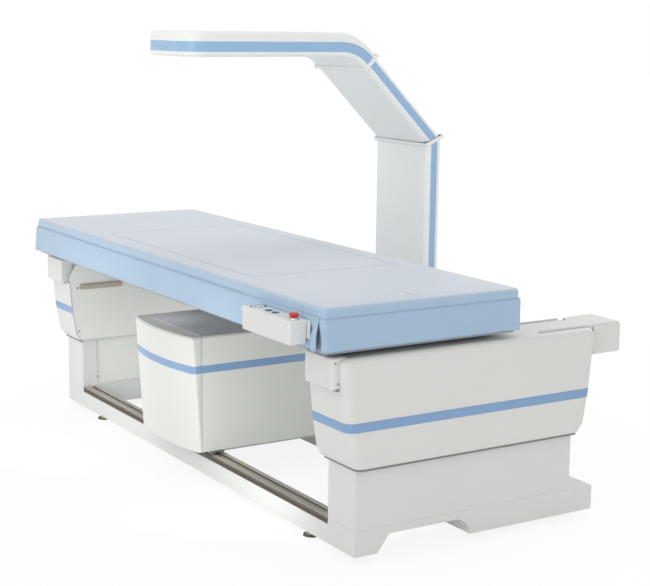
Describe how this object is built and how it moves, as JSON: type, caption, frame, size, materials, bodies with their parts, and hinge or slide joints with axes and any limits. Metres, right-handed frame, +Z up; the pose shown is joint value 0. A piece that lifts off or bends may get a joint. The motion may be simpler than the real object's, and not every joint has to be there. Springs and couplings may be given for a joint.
{
  "type": "bone densitometer",
  "caption": "Padded scanning table on two end stands, with a C-shaped gantry that carries an X-ray source under the table and a detector arm over it.",
  "frame": {"origin": "on the floor at the middle of the plan", "axes": "+X along the table towards the control box end, +Y to the column side, +Z up"},
  "size_m": [2.0372, 1.103, 1.402],
  "materials": {
    "white_enamel": "semi-gloss powder coat",
    "grey_enamel": "satin powder coat",
    "stainless": "brushed along its length",
    "white_moulding": "lightly textured moulding",
    "blue_band": "satin film",
    "grey_moulding": "satin",
    "brass_foot": "dull",
    "zinc": "zinc plated",
    "shaft_steel": "ground",
    "black_moulding": "matt",
    "case_metal": "satin",
    "board_case": "matt",
    "belt_rubber": "matt",
    "black_steel": "satin",
    "frame_enamel": "satin",
    "board_laminate": "satin laminate",
    "vinyl": "matt coated vinyl",
    "blue_key": "satin",
    "chrome_collar": "polished",
    "red_button": "gloss"
  },
  "bodies": {
    "base": {"front_beam": "white_enamel", "rear_beam": "white_enamel", "front_rail": "stainless", "rear_rail": "stainless", "guide_strips": "stainless", "levelling_feet": "brass_foot", "left_stand": "white_enamel", "right_stand": "white_enamel", "left_plinth": "white_enamel", "right_plinth": "white_enamel", "inner_panels": "grey_enamel", "upper_panels": "grey_enamel", "left_cover": "white_moulding", "right_cover": "white_moulding", "cover_stripes": "blue_band", "left_cross_beam": "white_enamel", "right_cross_beam": "white_enamel", "front_caps": "white_moulding", "rear_caps": "white_moulding", "cover_screws": "zinc", "guide_bar": "zinc", "mains_inlet": "black_moulding", "power_supply": "case_metal", "control_board": "board_case", "gantry_motor": "case_metal", "gantry_belt": "belt_rubber", "belt_brackets": "zinc", "table_motors": "case_metal", "screw_bearings": "zinc"},
    "gantry": {"carriage": "black_steel", "source_body": "white_moulding", "source_front": "white_moulding", "source_top": "grey_moulding", "tube_head": "case_metal", "collimator": "case_metal", "hv_generator": "case_metal", "bridge_cover": "white_moulding", "arm_spine": "black_steel", "column_cover": "white_moulding", "slant_cover": "white_moulding", "arm_cover": "white_moulding", "arm_rings": "white_moulding", "gantry_stripes": "blue_band"},
    "table": {"table_frame": "frame_enamel", "table_board": "board_laminate", "mattress": "vinyl", "lead_nuts": "zinc", "control_bracket": "grey_enamel", "control_box": "white_moulding", "control_lid": "white_moulding", "stop_base": "chrome_collar"},
    "left_wheels": {"left_wheelset": "shaft_steel", "left_axle": "shaft_steel"},
    "right_wheels": {"right_wheelset": "shaft_steel", "right_axle": "shaft_steel"},
    "drive_pulley_body": {"drive_pulley": "shaft_steel"},
    "idler_pulley_body": {"idler_pulley": "shaft_steel"},
    "left_screw": {"left_lead_screw": "shaft_steel"},
    "right_screw": {"right_lead_screw": "shaft_steel"},
    "ring_key_body": {"ring_key": "blue_key"},
    "key_a_body": {"key_a": "blue_key"},
    "key_b_body": {"key_b": "blue_key"},
    "stop": {"stop_button": "red_button"}
  },
  "joints": [
    {"name": "gantry_slide", "type": "slide", "parent": "base", "child": "gantry", "axis": [1, 0, 0], "range_m": [-0.57, 0.68]},
    {"name": "table_slide", "type": "slide", "parent": "base", "child": "table", "axis": [0, 1, 0], "range_m": [0, 0.28]},
    {"name": "left_wheels_turn", "type": "hinge", "parent": "gantry", "child": "left_wheels", "pos_m": [-0.243, -0.1125, 0.0983], "axis": [0, 1, 0], "range_deg": [-3300, 3920]},
    {"name": "right_wheels_turn", "type": "hinge", "parent": "gantry", "child": "right_wheels", "pos_m": [0.141, -0.1125, 0.0983], "axis": [0, 1, 0], "range_deg": [-3300, 3920]},
    {"name": "drive_pulley_turn", "type": "hinge", "parent": "base", "child": "drive_pulley_body", "pos_m": [-0.815, 0.1695, 0.062], "axis": [0, 1, 0], "range_deg": [-1660, 1980]},
    {"name": "idler_pulley_turn", "type": "hinge", "parent": "base", "child": "idler_pulley_body", "pos_m": [0.815, 0.1695, 0.062], "axis": [0, 1, 0], "range_deg": [-1660, 1980]},
    {"name": "left_screw_turn", "type": "hinge", "parent": "base", "child": "left_screw", "pos_m": [-0.884, 0, 0.533], "axis": [0, 1, 0], "range_deg": [-5060, 0]},
    {"name": "right_screw_turn", "type": "hinge", "parent": "base", "child": "right_screw", "pos_m": [0.884, 0, 0.533], "axis": [0, 1, 0], "range_deg": [-5060, 0]},
    {"name": "stop_press", "type": "slide", "parent": "table", "child": "stop", "axis": [0, 0, -1], "range_m": [0, 0.004], "stiffness_N_per_m": 800, "springref_m": -0.002},
    {"name": "ring_key_press", "type": "slide", "parent": "table", "child": "ring_key_body", "axis": [0, 0, -1], "range_m": [0, 0.001], "stiffness_N_per_m": 1500, "springref_m": -0.0005},
    {"name": "key_a_press", "type": "slide", "parent": "table", "child": "key_a_body", "axis": [0, 0, -1], "range_m": [0, 0.001], "stiffness_N_per_m": 1500, "springref_m": -0.0005},
    {"name": "key_b_press", "type": "slide", "parent": "table", "child": "key_b_body", "axis": [0, 0, -1], "range_m": [0, 0.001], "stiffness_N_per_m": 1500, "springref_m": -0.0005}
  ],
  "couplings": [
    {"joint": "left_wheels_turn", "follows": "gantry_slide", "rad_per_m": 100},
    {"joint": "right_wheels_turn", "follows": "gantry_slide", "rad_per_m": 100},
    {"joint": "drive_pulley_turn", "follows": "gantry_slide", "rad_per_m": 50.505},
    {"joint": "idler_pulley_turn", "follows": "gantry_slide", "rad_per_m": 50.505},
    {"joint": "left_screw_turn", "follows": "table_slide", "rad_per_m": -314.16},
    {"joint": "right_screw_turn", "follows": "table_slide", "rad_per_m": -314.16}
  ]
}
